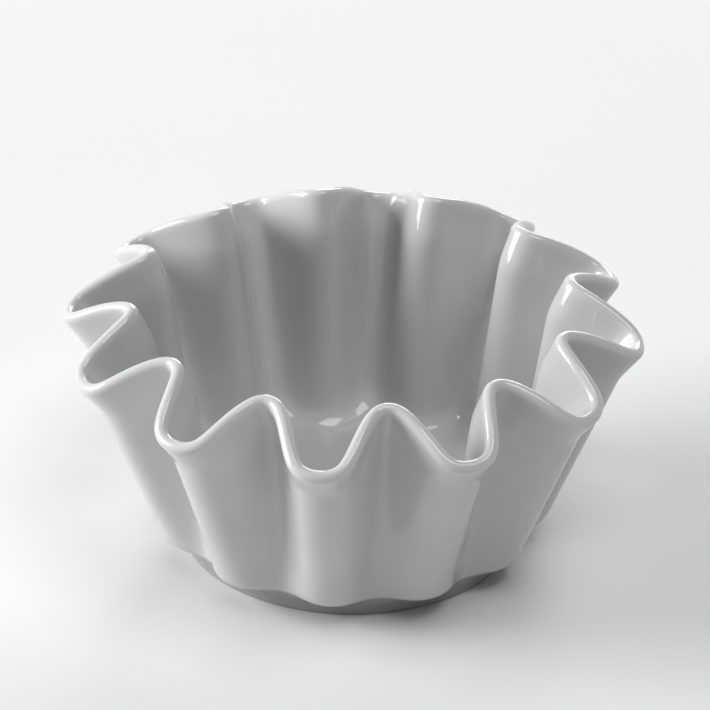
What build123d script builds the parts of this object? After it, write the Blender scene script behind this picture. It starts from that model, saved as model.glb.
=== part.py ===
from build123d import *

import os
from math import cos, degrees, radians, sin, sqrt

# Brioche mould: one fluted ceramic bowl on a low round foot.
# Millimetres and degrees. The origin is the centre of the foot's underside and +Z is up.
# A lobe of the wall lies on +X. Profiles are drawn with X as the distance from the axis
# and Y as the height.

# Flutes round the wall
flutes = 12

# Thickness of the wall, which is also that of the rounded lip
wall = 5.5

# Foot: a low ring under the bowl, round a shallow recess
foot_radius = 68.3
foot_height = 1.6
foot_rounding = 1.2
foot_ring_width = 7.5
recess_depth = 2.0
recess_rounding = 1.0

# Outer face along the middle of a lobe, from the foot up to the start of the lip.
# The toe is the bend over the foot, and the flare is the stretch that carries the lip.
toe_overhang = 8.7
toe_height = 8.0
toe_rounding = 11.0
lobe_rim_radius = 114.2
lobe_rim_height = 87.1
lobe_flare_length = 12.6
lobe_flare_angle = 39.0
lobe_flare_rounding = 16.0

# Outer face along the valley between two lobes, where the wall is drawn in over the foot
neck_inset = 1.9
neck_height = 8.5
neck_rounding = 9.0
valley_rim_radius = 88.8
valley_rim_height = 102.4
valley_flare_length = 13.8
valley_flare_angle = 25.0
valley_flare_rounding = 22.0

# Plan of a flute: how much broader the lobes are than the valleys, how square their
# shoulders are, and how far the rim swells above a plain wave between the two
lobe_breadth_share = 0.444
shoulder_share = 0.176
rim_swell = 1.7

# Inside: the wall runs down to a flat round floor through a soft corner, which starts at
# a share of the wall's length
floor_thickness = 5.5
floor_radius = 52.0
corner_share = 0.2

# The toe ends and the flare starts at these shares of the length of the outer face
toe_end_share = 0.14
flare_start_share = 0.845

# Sections of the skin, zone by zone from the foot to the floor, and points on each flute
foot_count = 5
toe_count = 7
flank_count = 14
flare_count = 5
lip_count = 11
inside_count = 12
corner_count = 6
flute_point_count = 9

# Short step along the skin that its direction is measured over, as a share of its length
# or of a flute
step_share = 0.002


def side_profile(foot, bend, rim, bend_rounding, flare_length, flare_angle, flare_rounding):
    """Draws the outer face in one radial plane, with the bend and the flare rounded."""
    flare = (
        rim[0] - flare_length * sin(radians(flare_angle)),
        rim[1] - flare_length * cos(radians(flare_angle)),
    )
    return FilletPolyline(foot, bend, flare, rim, radius=(bend_rounding, flare_rounding))


lobe = side_profile(
    (foot_radius, foot_height),
    (foot_radius + toe_overhang, toe_height),
    (lobe_rim_radius, lobe_rim_height),
    toe_rounding,
    lobe_flare_length,
    lobe_flare_angle,
    lobe_flare_rounding,
)
valley = side_profile(
    (foot_radius, foot_height),
    (foot_radius - neck_inset, neck_height),
    (valley_rim_radius, valley_rim_height),
    neck_rounding,
    valley_flare_length,
    valley_flare_angle,
    valley_flare_rounding,
)
rim_depth = lobe_rim_radius - valley_rim_radius
floor_height = recess_depth + floor_thickness


def outer(share, phase):
    """Gives a point of the outer face, a share of the way up it.

    Phase 0 is the middle of a lobe and phase 180 the middle of the next valley.
    """
    crest, trough = lobe @ share, valley @ share
    crest_share = (1 + cos(radians(phase))) / 2
    depth_share = max(crest.X - trough.X, 0) / rim_depth
    radius = trough.X + (crest.X - trough.X) * crest_share
    height = trough.Y + (crest.Y - trough.Y) * crest_share
    height += rim_swell * depth_share * sin(radians(phase)) ** 2
    phase += degrees(lobe_breadth_share * sqrt(depth_share) * sin(radians(phase)))
    phase += degrees(shoulder_share * depth_share * sin(radians(2 * phase)))
    return Vector(radius, 0, height).rotate(Axis.Z, phase / flutes)


def directions(share, phase):
    """Gives the directions up the outer face and square out of it."""
    low, high = max(share - step_share, 0), min(share + step_share, 1)
    up = outer(high, phase) - outer(low, phase)
    turn = 360 * step_share
    around = outer(share, phase + turn) - outer(share, phase - turn)
    return up.normalized(), around.cross(up).normalized()


def foot_point(share, phase):
    """Gives a point of the foot's rounded edge, a share of the way up it."""
    turn = radians(90 * share)
    radius = foot_radius - foot_rounding * (1 - sin(turn))
    return Vector(radius, 0, foot_height * (1 - cos(turn))).rotate(Axis.Z, phase / flutes)


def lip_point(share, phase):
    """Gives a point of the lip, a share of the way over it from outside to inside."""
    up, out = directions(1, phase)
    turn = radians(180 * share)
    return outer(1, phase) - out * wall / 2 + (out * cos(turn) + up * sin(turn)) * wall / 2


def behind(share, phase):
    """Gives the point of the inner face that lies square behind one of the outer face."""
    return outer(share, phase) - directions(share, phase)[1] * wall


def corner_point(share, phase):
    """Gives a point of the soft corner, a share of the way from the wall to the floor."""
    start = behind(corner_share, phase)
    up = directions(corner_share, phase)[0]
    bend = start - up * ((start.Z - floor_height) / up.Z)
    out = Vector(bend.X, bend.Y, 0).normalized()
    end = out * floor_radius + Vector(0, 0, floor_height)
    return start * (1 - share) ** 2 + bend * 2 * share * (1 - share) + end * share**2


def spread(first, last, count):
    """Gives evenly spaced shares from the first to the last."""
    return [first + (last - first) * number / (count - 1) for number in range(count)]


def slope(place, share, phase):
    """Gives how a section of the skin runs on at one point, measured per flute."""
    turn = 360 * step_share
    run = place(share, phase + turn) - place(share, phase - turn)
    return run * (1 / (2 * step_share))


def ring(place, share):
    """Closes one section of the skin from like curves, one to a flute, lobe to lobe."""
    shares = spread(0, 1, flute_point_count)
    points = [place(share, 360 * flute_share) for flute_share in shares]
    ends = [slope(place, share, 0), slope(place, share, 360)]
    curve = Edge.make_spline(points, tangents=ends, parameters=shares, scale=False)
    return Wire([curve.rotate(Axis.Z, 360 * number / flutes) for number in range(flutes)])


def skin(place, shares, ruled=False):
    """Gives the faces of one zone, through its sections, or straight from one to the next."""
    return Shell.make_loft([ring(place, share) for share in shares], ruled=ruled).faces()


def bowl():
    """Skins the foot, the outer face, the lip, the inner face and the soft corner."""
    faces = skin(foot_point, spread(0, 1, foot_count), ruled=True)
    faces += skin(outer, spread(0, toe_end_share, toe_count))
    faces += skin(outer, spread(toe_end_share, flare_start_share, flank_count), ruled=True)
    faces += skin(outer, spread(flare_start_share, 1, flare_count))
    faces += skin(lip_point, spread(0, 1, lip_count))
    faces += skin(behind, spread(1, flare_start_share, flare_count))
    faces += skin(behind, spread(flare_start_share, corner_share, inside_count), ruled=True)
    faces += skin(corner_point, spread(0, 1, corner_count))
    underside, floor = Face(ring(foot_point, 0)), Face(ring(corner_point, 1))
    return Solid(Shell([underside, floor] + faces))


def recess():
    """Makes the shallow hollow inside the foot ring, with its inner edge rounded."""
    radius = foot_radius - foot_rounding - foot_ring_width
    hollow = Cylinder(radius, recess_depth, align=(Align.CENTER, Align.CENTER, Align.MIN))
    return fillet(hollow.edges().sort_by(Axis.Z)[-1], recess_rounding)


mould = bowl() - recess()
os.makedirs("parts", exist_ok=True)
export_step(mould, "parts/mould.step")
print("mould", mould.is_valid, round(mould.volume), mould.bounding_box())
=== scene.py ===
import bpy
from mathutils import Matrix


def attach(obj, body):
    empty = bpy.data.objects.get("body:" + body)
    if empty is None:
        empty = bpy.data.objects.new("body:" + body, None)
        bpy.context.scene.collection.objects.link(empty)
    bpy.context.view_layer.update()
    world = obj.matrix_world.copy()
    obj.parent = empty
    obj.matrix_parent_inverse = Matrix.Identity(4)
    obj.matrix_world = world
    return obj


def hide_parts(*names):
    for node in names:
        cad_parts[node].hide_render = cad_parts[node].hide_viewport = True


bl_info = {
    "name": "Brioche mould",
    "version": (1, 0, 0),
    "blender": (4, 5, 0),
    "location": "3D View > Sidebar > Brioche mould",
    "description": "Models a fluted, glazed brioche mould and sets up a plain studio round it",
    "category": "Add Mesh",
}

from math import cos, pi, radians, sin, sqrt, tan

import bpy
from bpy.props import FloatProperty, FloatVectorProperty, IntProperty, PointerProperty
from mathutils import Matrix, Vector

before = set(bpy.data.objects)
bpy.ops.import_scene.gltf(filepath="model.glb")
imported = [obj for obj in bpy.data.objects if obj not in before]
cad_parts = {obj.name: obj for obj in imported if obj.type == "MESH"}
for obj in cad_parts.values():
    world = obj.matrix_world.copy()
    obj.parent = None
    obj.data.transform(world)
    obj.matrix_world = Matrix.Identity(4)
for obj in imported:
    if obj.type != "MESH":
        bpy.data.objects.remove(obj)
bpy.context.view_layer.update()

# Metres, radians and the frame's axes: +Z up from the foot, a lobe of the wall on +X.
# Colours are linear.


def length(name, description, default):
    """Makes one length for the sidebar."""
    return FloatProperty(
        name=name, description=description, default=default, min=0, precision=5, unit="LENGTH"
    )


def angle(name, description, default):
    """Makes one angle for the sidebar, given in degrees."""
    return FloatProperty(
        name=name, description=description, default=radians(default), subtype="ANGLE"
    )


def power(name, description, default):
    """Makes the power of one lamp for the sidebar."""
    return FloatProperty(name=name, description=description, default=default, unit="POWER")


def share(name, description, default):
    """Makes one plain factor for the sidebar."""
    return FloatProperty(name=name, description=description, default=default, subtype="FACTOR")


def colour(name, description, default):
    """Makes one colour for the sidebar."""
    return FloatVectorProperty(
        name=name, description=description, default=default, size=3, min=0, max=1, subtype="COLOR"
    )


class MouldShape(bpy.types.PropertyGroup):
    """Sizes of the mould, which are those of its solid except round the toe."""

    flutes: IntProperty(name="Flutes", description="Flutes round the wall", default=12, min=3)
    wall: length("Wall", "Thickness of the wall and of the rounded lip", 0.0055)
    foot_radius: length("Foot radius", "Outer radius of the round foot", 0.0683)
    foot_height: length("Foot height", "Height of the foot's rounded edge", 0.0048)
    foot_rounding: length("Foot rounding", "Width of the foot's rounded edge", 0.0012)
    foot_ring: length("Foot ring", "Width of the face that the mould stands on", 0.0075)
    recess_depth: length("Recess depth", "Depth of the hollow inside the foot ring", 0.002)
    recess_rounding: length("Recess rounding", "Rounding of the hollow's upper edge", 0.001)
    toe_overhang: length("Toe overhang", "How far a lobe swells out over the foot", 0.0108)
    toe_height: length("Toe height", "Height of the bend above the foot in a lobe", 0.0106)
    toe_rounding: length("Toe rounding", "Rounding of the bend above the foot", 0.009)
    lobe_radius: length("Lobe rim radius", "Radius at the lip in the middle of a lobe", 0.1142)
    lobe_height: length("Lobe rim height", "Height where a lobe's lip starts", 0.0871)
    lobe_flare: length("Lobe flare", "Length of a lobe's flared stretch", 0.0126)
    lobe_flare_angle: angle("Lobe flare angle", "Lean of a lobe's flared stretch", 39)
    lobe_flare_rounding: length("Lobe flare rounding", "Rounding under a lobe's flare", 0.016)
    neck_overhang: length("Neck overhang", "How far a valley stands out over the foot", 0.0034)
    neck_height: length("Neck height", "Height of the bend above the foot in a valley", 0.0109)
    neck_rounding: length("Neck rounding", "Rounding of a valley's bend above the foot", 0.0025)
    valley_radius: length("Valley rim radius", "Radius at the lip in a valley", 0.0888)
    valley_height: length("Valley rim height", "Height where a valley's lip starts", 0.1024)
    valley_flare: length("Valley flare", "Length of a valley's flared stretch", 0.0138)
    valley_flare_angle: angle("Valley flare angle", "Lean of a valley's flared stretch", 25)
    valley_flare_rounding: length("Valley flare rounding", "Rounding under the flare", 0.022)
    lobe_breadth: share("Lobe breadth", "How much broader lobes are than valleys", 0.444)
    shoulders: share("Shoulders", "How square the lobes' shoulders are", 0.176)
    rim_swell: length("Rim swell", "How far the rim swells above a plain wave", 0.0017)
    floor_thickness: length("Floor thickness", "Thickness of the floor", 0.0055)
    floor_radius: length("Floor radius", "Radius of the flat floor", 0.052)
    corner: share("Corner start", "Share of the wall where the inner corner starts", 0.2)


class MouldFinish(bpy.types.PropertyGroup):
    """Colours and gloss of the glaze, the painted shade under the toe and the bare clay."""

    glaze: colour("Glaze", "Grey of the glaze", (0.59, 0.59, 0.59))
    glaze_deep: colour("Pooled glaze", "Grey where the glaze lies thicker", (0.56, 0.56, 0.56))
    # Painted shade: a dark grey that stands in for the shade on the downward faces under the toe
    painted_toe_shade: colour(
        "Painted toe shade", "Dark grey painted as shade under the toe", (0.31, 0.31, 0.31)
    )
    glaze_lip: colour("Lip glaze", "Grey where the glaze thins over the lip", (0.63, 0.63, 0.63))
    gloss_low: share("Smoothest glaze", "Roughness of the smoothest patches", 0.05)
    gloss_high: share("Dullest glaze", "Roughness of the dullest patches", 0.10)
    clay: colour("Bare clay", "Colour of the unglazed foot ring", (0.62, 0.56, 0.48))
    clay_dark: colour("Clay grain", "Colour of the clay's darker grains", (0.42, 0.36, 0.29))


class StudioSettings(bpy.types.PropertyGroup):
    """Floor, light and camera."""

    floor: colour("Floor", "Colour of the floor", (0.85, 0.85, 0.85))
    floor_shade: share("Floor shade", "Tone of the floor's darker clouds", 0.985)
    floor_roughness: share("Floor roughness", "Roughness of the floor", 0.7)
    floor_size: length("Floor size", "Side of the floor", 6)
    world: share("World light", "Strength of the even light from all round", 0.1)
    backdrop: share("Backdrop", "Strength of the plain pale background behind the floor", 1)
    key_turn: angle("Key turn", "How far round the mould the low soft lamp on the left stands", 273)
    key_rise: angle("Key rise", "How high over the floor that lamp stands", 21)
    key_power: power("Key light", "Power of the low soft lamp on the left", 198)
    key_size: length("Key size", "Side of the low soft lamp on the left", 2.4)
    back_turn: angle("Back turn", "How far round the mould the low soft lamp behind it stands", 176)
    back_rise: angle("Back rise", "How high over the floor that lamp stands", 21)
    back_power: power("Back light", "Power of the low soft lamp behind the mould", 62)
    back_size: length("Back size", "Side of the low soft lamp behind the mould", 2)
    top_turn: angle("Top turn", "How far round the mould the soft lamp above stands", 55)
    top_rise: angle("Top rise", "How high over the floor that lamp stands", 70)
    top_power: power("Top light", "Power of the soft lamp above on the right", 62)
    top_size: length("Top size", "Side of the soft lamp above on the right", 2)
    lamp_distance: length("Lamp distance", "From the mould to each lamp", 4)
    lamp_aim: length("Lamp aim", "Height of the point that the lamps face", 0.05)
    camera_distance: length("Camera distance", "From the mould to the camera", 1.7976)
    camera_height: angle("Camera elevation", "How far the camera looks down", 29.74)
    camera_turn: angle("Camera turn", "How far round the mould the camera stands", 6.01)
    camera_roll: angle("Camera roll", "Turn of the camera about its own axis", 0.75)
    camera_lens: FloatProperty(
        name="Lens", description="Focal length of the camera", default=231.8, unit="CAMERA"
    )
    aim_height: length("Aim height", "Height of the point that the camera looks at", 0.07795)
    aim_aside: length("Aim aside", "How far the camera stands to its own right", 0.00122)


# Shares of the outer face: a short step along it, the bend over the foot, and where the
# closely spaced sections of the toe end and those of the flare start

STEP_SHARE = 0.002
TOE_SHARE = 0.11
TOE_END_SHARE = 0.165
FLARE_SHARE = 0.8

# Columns of half a flute, and points on each, from the hollow under the floor round to the floor

HALF_FLUTE_COLUMNS = 13
EDGE_COUNT = 4
TOE_COUNT = 12
FLANK_COUNT = 10
FLARE_COUNT = 8
LIP_COUNT = 10
INNER_FLARE_COUNT = 6
INNER_COUNT = 10
CORNER_COUNT = 7
FLOOR_SHARES = (0, 0.1, 0.4)


def rounded_profile(corners, roundings):
    """Lists the straight runs and the arcs of a profile with its inner corners rounded.

    Each entry is a start, a direction, a length and the turn made over that length.
    """
    pieces, start = [], corners[0]
    for before, corner, after, rounding in zip(corners, corners[1:], corners[2:], roundings):
        along, onward = (corner - before).normalized(), (after - corner).normalized()
        turn = along.angle(onward)
        if along.x * onward.y - along.y * onward.x < 0:
            turn = -turn
        tangent = corner - along * rounding * tan(abs(turn) / 2)
        pieces.append((start, along, (tangent - start).length, 0))
        pieces.append((tangent, along, rounding * abs(turn), turn))
        start = corner + onward * rounding * tan(abs(turn) / 2)
    last = corners[-1] - start
    return pieces + [(start, last.normalized(), last.length, 0)]


def point_along(pieces, place):
    """Gives the point a share of the way along a rounded profile.

    The first bend lies at the same share of every profile.
    """
    whole, bend = sum(piece[2] for piece in pieces), pieces[0][2] + pieces[1][2] / 2
    if place < TOE_SHARE:
        distance = bend * place / TOE_SHARE
    else:
        distance = bend + (whole - bend) * (place - TOE_SHARE) / (1 - TOE_SHARE)
    for start, along, run, turn in pieces:
        if distance <= run:
            break
        distance -= run
    else:
        distance = run
    if not turn:
        return start + along * distance
    half_turn = turn * distance / run / 2
    chord = 2 * run / turn * sin(half_turn)
    return start + Matrix.Rotation(half_turn, 2) @ along * chord


class FluteSurface:
    """Works out points of the mould's skin at a phase of the flute.

    Phase 0 is the middle of a lobe and phase 180 the middle of the next valley.
    """

    def __init__(self, shape):
        self.shape = shape
        foot = Vector((shape.foot_radius, shape.foot_height))
        self.lobe = self.side(
            foot,
            foot + Vector((shape.toe_overhang, shape.toe_height - shape.foot_height)),
            Vector((shape.lobe_radius, shape.lobe_height)),
            (shape.toe_rounding, shape.lobe_flare_rounding),
            (shape.lobe_flare, shape.lobe_flare_angle),
        )
        self.valley = self.side(
            foot,
            foot + Vector((shape.neck_overhang, shape.neck_height - shape.foot_height)),
            Vector((shape.valley_radius, shape.valley_height)),
            (shape.neck_rounding, shape.valley_flare_rounding),
            (shape.valley_flare, shape.valley_flare_angle),
        )

    def side(self, foot, bend, rim, roundings, flare):
        """Gives the outer face's profile in one radial plane."""
        run, lean = flare
        start = rim - Vector((sin(lean), cos(lean))) * run
        return rounded_profile((foot, bend, start, rim), roundings)

    def outer(self, place, phase):
        """Gives a point of the outer face, a share of the way up it."""
        shape = self.shape
        crest, trough = point_along(self.lobe, place), point_along(self.valley, place)
        depth = max(crest.x - trough.x, 0) / (shape.lobe_radius - shape.valley_radius)
        crest_share = (1 + cos(phase)) / 2
        middle = trough + (crest - trough) * crest_share
        height = middle.y + shape.rim_swell * depth * sin(phase) ** 2
        phase += shape.lobe_breadth * sqrt(depth) * sin(phase)
        phase += shape.shoulders * depth * sin(2 * phase)
        return around_axis(middle.x, height, phase / shape.flutes)

    def directions(self, place, phase):
        """Gives the directions up the outer face and square out of it."""
        low, high = max(place - STEP_SHARE, 0), min(place + STEP_SHARE, 1)
        up = self.outer(high, phase) - self.outer(low, phase)
        turn = 2 * pi * STEP_SHARE
        across = self.outer(place, phase + turn) - self.outer(place, phase - turn)
        return up.normalized(), across.cross(up).normalized()

    def lip(self, place, phase):
        """Gives a point of the rounded lip, a share of the way over it."""
        up, out = self.directions(1, phase)
        half = self.shape.wall / 2
        rise = out * cos(pi * place) + up * sin(pi * place)
        return self.outer(1, phase) - out * half + rise * half

    def inner(self, place, phase):
        """Gives the point of the inner face square behind one of the outer face."""
        return self.outer(place, phase) - self.directions(place, phase)[1] * self.shape.wall

    def corner(self, place, phase):
        """Gives a point of the soft corner between the inner face and the floor."""
        shape = self.shape
        start = self.inner(shape.corner, phase)
        up = self.directions(shape.corner, phase)[0]
        floor_height = shape.recess_depth + shape.floor_thickness
        bend = start - up * ((start.z - floor_height) / up.z)
        end = Vector((bend.x, bend.y, 0)).normalized() * shape.floor_radius
        end.z = floor_height
        near, far = 1 - place, place
        return start * near**2 + bend * 2 * near * far + end * far**2

    def column(self, phase):
        """Lists a column's points, from under the floor round the lip and back over the floor."""
        shape = self.shape
        lean = self.outer(0, phase)
        turn = Vector((lean.x, lean.y)).angle_signed(Vector((1, 0)))
        points = [around_axis(radius, height, turn) for radius, height in underside(shape)]
        runs = (
            (self.outer, 0, TOE_END_SHARE, TOE_COUNT),
            (self.outer, TOE_END_SHARE, FLARE_SHARE, FLANK_COUNT),
            (self.outer, FLARE_SHARE, 1, FLARE_COUNT),
            (self.lip, 0, 1, LIP_COUNT),
            (self.inner, 1, FLARE_SHARE, INNER_FLARE_COUNT),
            (self.inner, FLARE_SHARE, shape.corner, INNER_COUNT),
            (self.corner, 0, 1, CORNER_COUNT),
        )
        for surface, first, last, count in runs:
            points += [surface(place, phase) for place in steps(first, last, count)]
        rest = self.corner(1, phase)
        middle = Vector((0, 0, rest.z))
        return points + [rest.lerp(middle, place) for place in FLOOR_SHARES]


def around_axis(radius, height, turn):
    """Gives the point at a radius and height, turned about the mould's axis."""
    return Vector((radius * cos(turn), radius * sin(turn), height))


def steps(first, last, count):
    """Gives evenly spaced shares from the first up to, but without, the last."""
    return [first + (last - first) * number / count for number in range(count)]


def underside(shape):
    """Lists radius and height from inside the hollow to the foot's outer edge."""
    ring = shape.foot_radius - shape.foot_rounding
    edge = ring - shape.foot_ring
    top, soft = shape.recess_depth, shape.recess_rounding
    points = [(edge / 2, top), (edge - 4 * soft, top)]
    for place in steps(0, 1, EDGE_COUNT):
        turn = pi / 2 * place
        points.append((edge - soft + soft * sin(turn), top - soft + soft * cos(turn)))
    tight = soft / 4
    points += [(edge, top - soft), (edge, tight), (edge, 0), (edge + tight, 0)]
    points += [(edge + shape.foot_ring / 2, 0), (ring - tight, 0)]
    for place in steps(0, 1, EDGE_COUNT):
        turn = pi / 2 * place
        radius = ring + shape.foot_rounding * sin(turn)
        points.append((radius, shape.foot_height * (1 - cos(turn))))
    return points


# Modelling


def deselect_everything():
    """Leaves object mode with nothing selected."""
    if bpy.context.object and bpy.context.object.mode != "OBJECT":
        bpy.ops.object.mode_set(mode="OBJECT")
    bpy.ops.object.select_all(action="DESELECT")


def draw_column(points):
    """Draws one column from a single vertex, extruded from point to point."""
    bpy.ops.mesh.primitive_plane_add(size=0.001, location=points[0])
    if bpy.context.object.mode != "EDIT":
        bpy.ops.object.mode_set(mode="EDIT")
    bpy.ops.mesh.merge(type="CENTER")
    for start, end in zip(points, points[1:]):
        bpy.ops.mesh.extrude_region_move(TRANSFORM_OT_translate={"value": end - start})


def apply_modifier(piece, kind, **settings):
    """Adds a modifier to a piece and applies it."""
    modifier = piece.modifiers.new(kind.title(), kind)
    for name, value in settings.items():
        setattr(modifier, name, value)
    bpy.ops.object.modifier_apply(modifier=modifier.name)


def model_half_flute(shape):
    """Draws the columns of half a flute and bridges them."""
    surface = FluteSurface(shape)
    deselect_everything()
    for number in range(HALF_FLUTE_COLUMNS):
        draw_column(surface.column(pi * number / (HALF_FLUTE_COLUMNS - 1)))
    bpy.ops.mesh.select_all(action="SELECT")
    bpy.ops.mesh.bridge_edge_loops(type="SINGLE")
    bpy.ops.object.mode_set(mode="OBJECT")
    bpy.ops.object.transform_apply(location=True, rotation=True, scale=True)
    return bpy.context.object


def repeat_flute(piece, flutes):
    """Mirrors the half flute, spins copies round the axis and closes the seams."""
    apply_modifier(piece, "MIRROR", use_axis=(False, True, False), merge_threshold=0.00001)
    bpy.ops.object.mode_set(mode="EDIT")
    bpy.ops.mesh.select_all(action="SELECT")
    bpy.ops.mesh.spin(
        steps=flutes - 1,
        dupli=True,
        angle=2 * pi * (flutes - 1) / flutes,
        center=(0, 0, 0),
        axis=(0, 0, 1),
    )
    bpy.ops.mesh.select_all(action="SELECT")
    bpy.ops.mesh.remove_doubles(threshold=0.00001)
    bpy.ops.object.mode_set(mode="OBJECT")


def close_floor():
    """Fills the open rings over and under the floor and turns all faces outwards."""
    bpy.ops.object.mode_set(mode="EDIT")
    bpy.ops.mesh.select_all(action="SELECT")
    bpy.ops.mesh.fill_holes(sides=0)
    bpy.ops.mesh.select_all(action="SELECT")
    bpy.ops.mesh.normals_make_consistent(inside=False)
    bpy.ops.object.mode_set(mode="OBJECT")


class MOULD_OT_body(bpy.types.Operator):
    """Models the whole mould from one half flute"""

    bl_idname = "brioche_mould.body"
    bl_label = "Mould body"

    def execute(self, context):
        shape = context.scene.mould_shape
        body = model_half_flute(shape)
        body.name = body.data.name = "mould_body"
        repeat_flute(body, shape.flutes)
        apply_modifier(body, "SUBSURF", levels=1, render_levels=1)
        close_floor()
        bpy.ops.object.shade_smooth()
        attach(body, "root")
        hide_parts("mould")
        return {"FINISHED"}


# Finishes: sizes of their noises, per metre, and depths of their bumps

POOLING_SCALE = 22
PATCH_SCALE = 60
WAVE_SCALE = 90
WAVE_DEPTH = 0.00004
SKIN_SCALE = 1400
SKIN_DEPTH = 0.000004
GRAIN_SCALE = 1600
GRAIN_DEPTH = 0.00008

# Height over which the painted shade under the toe fades out, and what tells the foot ring's
# face: how straight down it looks and how near the ground it lies

TOE_SHADE_FADE = 0.0014
STRAIGHT_DOWN = -0.99
NEAR_GROUND = 0.00006


def new_material(name):
    """Starts a node material and returns it with its nodes, its links and its shader."""
    material = bpy.data.materials.new(name)
    material.use_nodes = True
    nodes, links = material.node_tree.nodes, material.node_tree.links
    return material, nodes, links, nodes["Principled BSDF"]


def noise(nodes, links, place, scale, detail=2, roughness=0.5):
    """Adds a noise over the object's own coordinates."""
    node = nodes.new("ShaderNodeTexNoise")
    node.inputs["Scale"].default_value = scale
    node.inputs["Detail"].default_value = detail
    node.inputs["Roughness"].default_value = roughness
    links.new(place.outputs["Object"], node.inputs["Vector"])
    return node.outputs["Fac"]


def spread(nodes, links, value, low, high, to_low=0, to_high=1):
    """Maps a value from one range to another."""
    node = nodes.new("ShaderNodeMapRange")
    node.interpolation_type = "SMOOTHSTEP"
    names = ("From Min", "From Max", "To Min", "To Max")
    for name, number in zip(names, (low, high, to_low, to_high)):
        node.inputs[name].default_value = number
    links.new(value, node.inputs["Value"])
    return node.outputs["Result"]


def blend_colours(nodes, links, factor, first, second):
    """Mixes two colours or sockets by a factor."""
    node = nodes.new("ShaderNodeMix")
    node.data_type = "RGBA"
    links.new(factor, node.inputs["Factor"])
    for name, value in (("A", first), ("B", second)):
        socket = [entry for entry in node.inputs if entry.name == name and entry.type == "RGBA"][0]
        if isinstance(value, bpy.types.NodeSocket):
            links.new(value, socket)
        else:
            socket.default_value = (*value, 1)
    return [entry for entry in node.outputs if entry.type == "RGBA"][0]


def bump(nodes, links, height, distance, strength, normal=None):
    """Adds a bump of a depth in metres, on top of another where one is given."""
    node = nodes.new("ShaderNodeBump")
    node.inputs["Distance"].default_value = distance
    node.inputs["Strength"].default_value = strength
    links.new(height, node.inputs["Height"])
    if normal:
        links.new(normal, node.inputs["Normal"])
    return node.outputs["Normal"]


def glaze_material(finish):
    """Makes the glossy grey glaze: broad pooling, a thinner lip, painted shade under the toe and a
    soft glassy skin.
    """
    material, nodes, links, shader = new_material("grey_glaze")
    place = nodes.new("ShaderNodeTexCoord")
    pooling = spread(nodes, links, noise(nodes, links, place, POOLING_SCALE, 3), 0.35, 0.65)
    colour_now = blend_colours(nodes, links, pooling, finish.glaze, finish.glaze_deep)
    lip = nodes.new("ShaderNodeAttribute")
    lip.attribute_name = "lip"
    colour_now = blend_colours(nodes, links, lip.outputs["Fac"], colour_now, finish.glaze_lip)
    # Painted shade: the downward faces under the toe blend towards a dark grey
    under = nodes.new("ShaderNodeAttribute")
    under.attribute_name = "under_toe"
    colour_now = blend_colours(nodes, links, under.outputs["Fac"], colour_now, finish.painted_toe_shade)
    links.new(colour_now, shader.inputs["Base Color"])
    patches = noise(nodes, links, place, PATCH_SCALE, 2)
    roughness = spread(nodes, links, patches, 0.3, 0.7, finish.gloss_low, finish.gloss_high)
    links.new(roughness, shader.inputs["Roughness"])
    waves = bump(nodes, links, noise(nodes, links, place, WAVE_SCALE, 1), WAVE_DEPTH, 0.5)
    skin = noise(nodes, links, place, SKIN_SCALE, 1)
    skin = bump(nodes, links, skin, SKIN_DEPTH, 0.5, waves)
    links.new(skin, shader.inputs["Normal"])
    shader.inputs["IOR"].default_value = 1.5
    return material


def clay_material(finish):
    """Makes the dry clay of the foot ring, with its grain."""
    material, nodes, links, shader = new_material("bare_clay")
    place = nodes.new("ShaderNodeTexCoord")
    grain = noise(nodes, links, place, GRAIN_SCALE, 4, 0.6)
    body = spread(nodes, links, grain, 0.45, 0.7)
    colour_now = blend_colours(nodes, links, body, finish.clay, finish.clay_dark)
    links.new(colour_now, shader.inputs["Base Color"])
    links.new(spread(nodes, links, grain, 0.3, 0.7, 0.7, 0.95), shader.inputs["Roughness"])
    links.new(bump(nodes, links, grain, GRAIN_DEPTH, 0.6), shader.inputs["Normal"])
    return material


def paint_toe_shade(body, shape):
    """Writes how much painted shade under the toe each vertex gets to an attribute."""
    marks = body.data.attributes.new("under_toe", "FLOAT", "POINT")
    for vertex, mark in zip(body.data.vertices, marks.data):
        # Painted shade: downward faces below the toe's bend get the dark grey, fading out upwards
        if vertex.normal.z < 0:
            mark.value = max(0, min(1, (shape.toe_height - vertex.co.z) / TOE_SHADE_FADE))


def mark_lip(body, shape):
    """Writes how much of the lip's thin glaze each vertex has to an attribute."""
    surface = FluteSurface(shape)
    marks = body.data.attributes.new("lip", "FLOAT", "POINT")
    phases = [pi * number / 90 for number in range(91)]
    rim = [surface.lip(0.5, phase) for phase in phases]
    radii = [sqrt(point.x**2 + point.y**2) for point in rim]
    for vertex, mark in zip(body.data.vertices, marks.data):
        radius = sqrt(vertex.co.x**2 + vertex.co.y**2)
        nearest = min(range(len(rim)), key=lambda number: (radii[number] - radius) ** 2)
        drop = rim[nearest].z - vertex.co.z
        mark.value = max(0, min(1, 1 - drop / shape.wall))


class MOULD_OT_finish(bpy.types.Operator):
    """Glazes the mould and leaves the foot ring as bare clay"""

    bl_idname = "brioche_mould.finish"
    bl_label = "Glaze and clay"

    def execute(self, context):
        shape, finish = context.scene.mould_shape, context.scene.mould_finish
        body = bpy.data.objects["mould_body"]
        mark_lip(body, shape)
        paint_toe_shade(body, shape)
        body.data.materials.append(glaze_material(finish))
        body.data.materials.append(clay_material(finish))
        for face in body.data.polygons:
            if face.normal.z < STRAIGHT_DOWN and face.center.z < NEAR_GROUND:
                face.material_index = 1
        return {"FINISHED"}


# Studio


def direction(turn, rise):
    """Gives a direction away from the mould, turned from the front round by the right."""
    return Vector((sin(turn) * cos(rise), -cos(turn) * cos(rise), sin(rise)))


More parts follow.
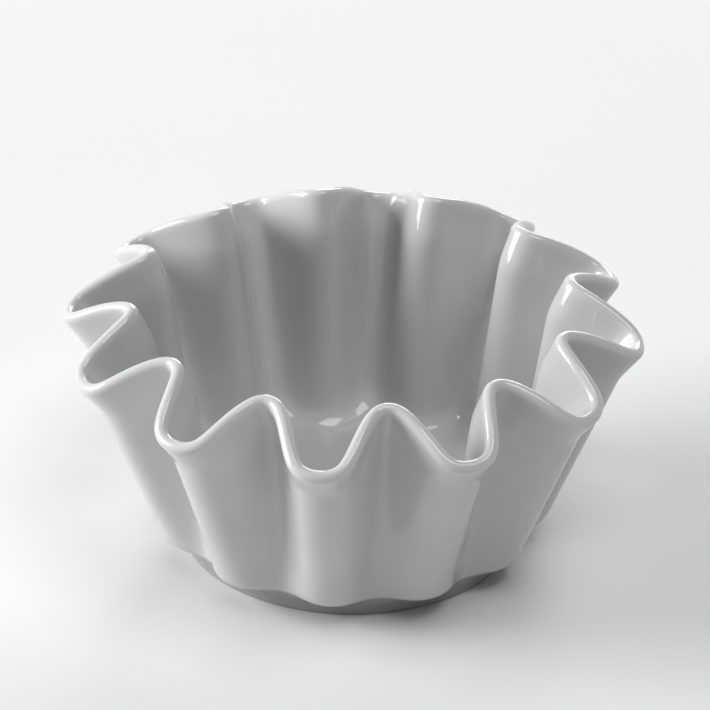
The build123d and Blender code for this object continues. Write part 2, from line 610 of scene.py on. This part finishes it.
def add_lamp(studio, name):
    """Adds one of the square soft lamps that face the mould."""
    away = direction(getattr(studio, name + "_turn"), getattr(studio, name + "_rise"))
    middle = Vector((0, 0, studio.lamp_aim))
    bpy.ops.object.light_add(type="AREA", location=middle + away * studio.lamp_distance)
    lamp = bpy.context.object
    lamp.name = name + "_lamp"
    lamp.data.size = getattr(studio, name + "_size")
    lamp.data.energy = getattr(studio, name + "_power")
    lamp.rotation_euler = (-away).to_track_quat("-Z", "Y").to_euler()


def add_camera(studio):
    """Places the camera at the photograph's angle."""
    away = direction(studio.camera_turn, studio.camera_height)
    look = (-away).to_track_quat("-Z", "Y").to_matrix()
    aim = Vector((0, 0, studio.aim_height)) + look @ Vector((studio.aim_aside, 0, 0))
    bpy.ops.object.camera_add(location=aim + away * studio.camera_distance)
    camera = bpy.context.object
    camera.rotation_euler = (look @ Matrix.Rotation(studio.camera_roll, 3, "Z")).to_euler()
    camera.data.lens = studio.camera_lens
    camera.data.sensor_width = 36
    camera.data.clip_end = 20
    bpy.context.scene.camera = camera


def add_world(studio):
    """Adds the even light, with a pale backdrop for the camera and for reflections."""
    world = bpy.data.worlds.new("even_light")
    world.use_nodes = True
    nodes, links = world.node_tree.nodes, world.node_tree.links
    light, backdrop = nodes["Background"], nodes.new("ShaderNodeBackground")
    for background, strength in ((light, studio.world), (backdrop, studio.backdrop)):
        background.inputs["Color"].default_value = (1, 1, 1, 1)
        background.inputs["Strength"].default_value = strength
    ray, either = nodes.new("ShaderNodeLightPath"), nodes.new("ShaderNodeMixShader")
    seen = ray.outputs["Is Camera Ray"]
    for name in ("Is Glossy Ray", "Is Transmission Ray"):
        both = nodes.new("ShaderNodeMath")
        both.operation = "MAXIMUM"
        links.new(seen, both.inputs[0])
        links.new(ray.outputs[name], both.inputs[1])
        seen = both.outputs[0]
    links.new(seen, either.inputs[0])
    links.new(light.outputs[0], either.inputs[1])
    links.new(backdrop.outputs[0], either.inputs[2])
    links.new(either.outputs[0], nodes["World Output"].inputs["Surface"])
    bpy.context.scene.world = world


class MOULD_OT_stage(bpy.types.Operator):
    """Adds the floor, the lamps, the even light and the camera"""

    bl_idname = "brioche_mould.stage"
    bl_label = "Floor, light and camera"

    def execute(self, context):
        studio = context.scene.mould_studio
        deselect_everything()
        bpy.ops.mesh.primitive_plane_add(size=studio.floor_size)
        floor = bpy.context.object
        floor.name = "floor"
        material, nodes, links, shader = new_material("pale_floor")
        place = nodes.new("ShaderNodeTexCoord")
        cloud = spread(nodes, links, noise(nodes, links, place, 3, 2), 0.3, 0.7)
        shade = [value * studio.floor_shade for value in studio.floor]
        colour_now = blend_colours(nodes, links, cloud, studio.floor, shade)
        links.new(colour_now, shader.inputs["Base Color"])
        shader.inputs["Roughness"].default_value = studio.floor_roughness
        floor.data.materials.append(material)
        for name in ("key", "back", "top"):
            add_lamp(studio, name)
        add_world(studio)
        context.scene.view_settings.view_transform = "Standard"
        add_camera(studio)
        return {"FINISHED"}


class MOULD_PT_panel(bpy.types.Panel):
    """Lists the mould's sizes and operators in the sidebar"""

    bl_idname = "MOULD_PT_panel"
    bl_label = "Brioche mould"
    bl_space_type = "VIEW_3D"
    bl_region_type = "UI"
    bl_category = "Brioche mould"

    def draw(self, context):
        layout = self.layout
        for operator, group in STEPS:
            layout.operator(operator.bl_idname)
            settings = getattr(context.scene, group)
            for name in settings.__annotations__:
                layout.prop(settings, name)


STEPS = (
    (MOULD_OT_body, "mould_shape"),
    (MOULD_OT_finish, "mould_finish"),
    (MOULD_OT_stage, "mould_studio"),
)
GROUPS = {"mould_shape": MouldShape, "mould_finish": MouldFinish, "mould_studio": StudioSettings}


def register():
    """Registers the groups, the operators and the panel."""
    for name, group in GROUPS.items():
        bpy.utils.register_class(group)
        setattr(bpy.types.Scene, name, PointerProperty(type=group))
    for operator, group in STEPS:
        bpy.utils.register_class(operator)
    bpy.utils.register_class(MOULD_PT_panel)


def unregister():
    """Takes the panel, the operators and the groups away again."""
    bpy.utils.unregister_class(MOULD_PT_panel)
    for operator, group in STEPS:
        bpy.utils.unregister_class(operator)
    for name, group in GROUPS.items():
        delattr(bpy.types.Scene, name)
        bpy.utils.unregister_class(group)


def main():
    """Makes the mould, its finish and its studio."""
    register()
    bpy.ops.brioche_mould.body()
    bpy.ops.brioche_mould.finish()
    bpy.ops.brioche_mould.stage()


if __name__ == "__main__":
    main()
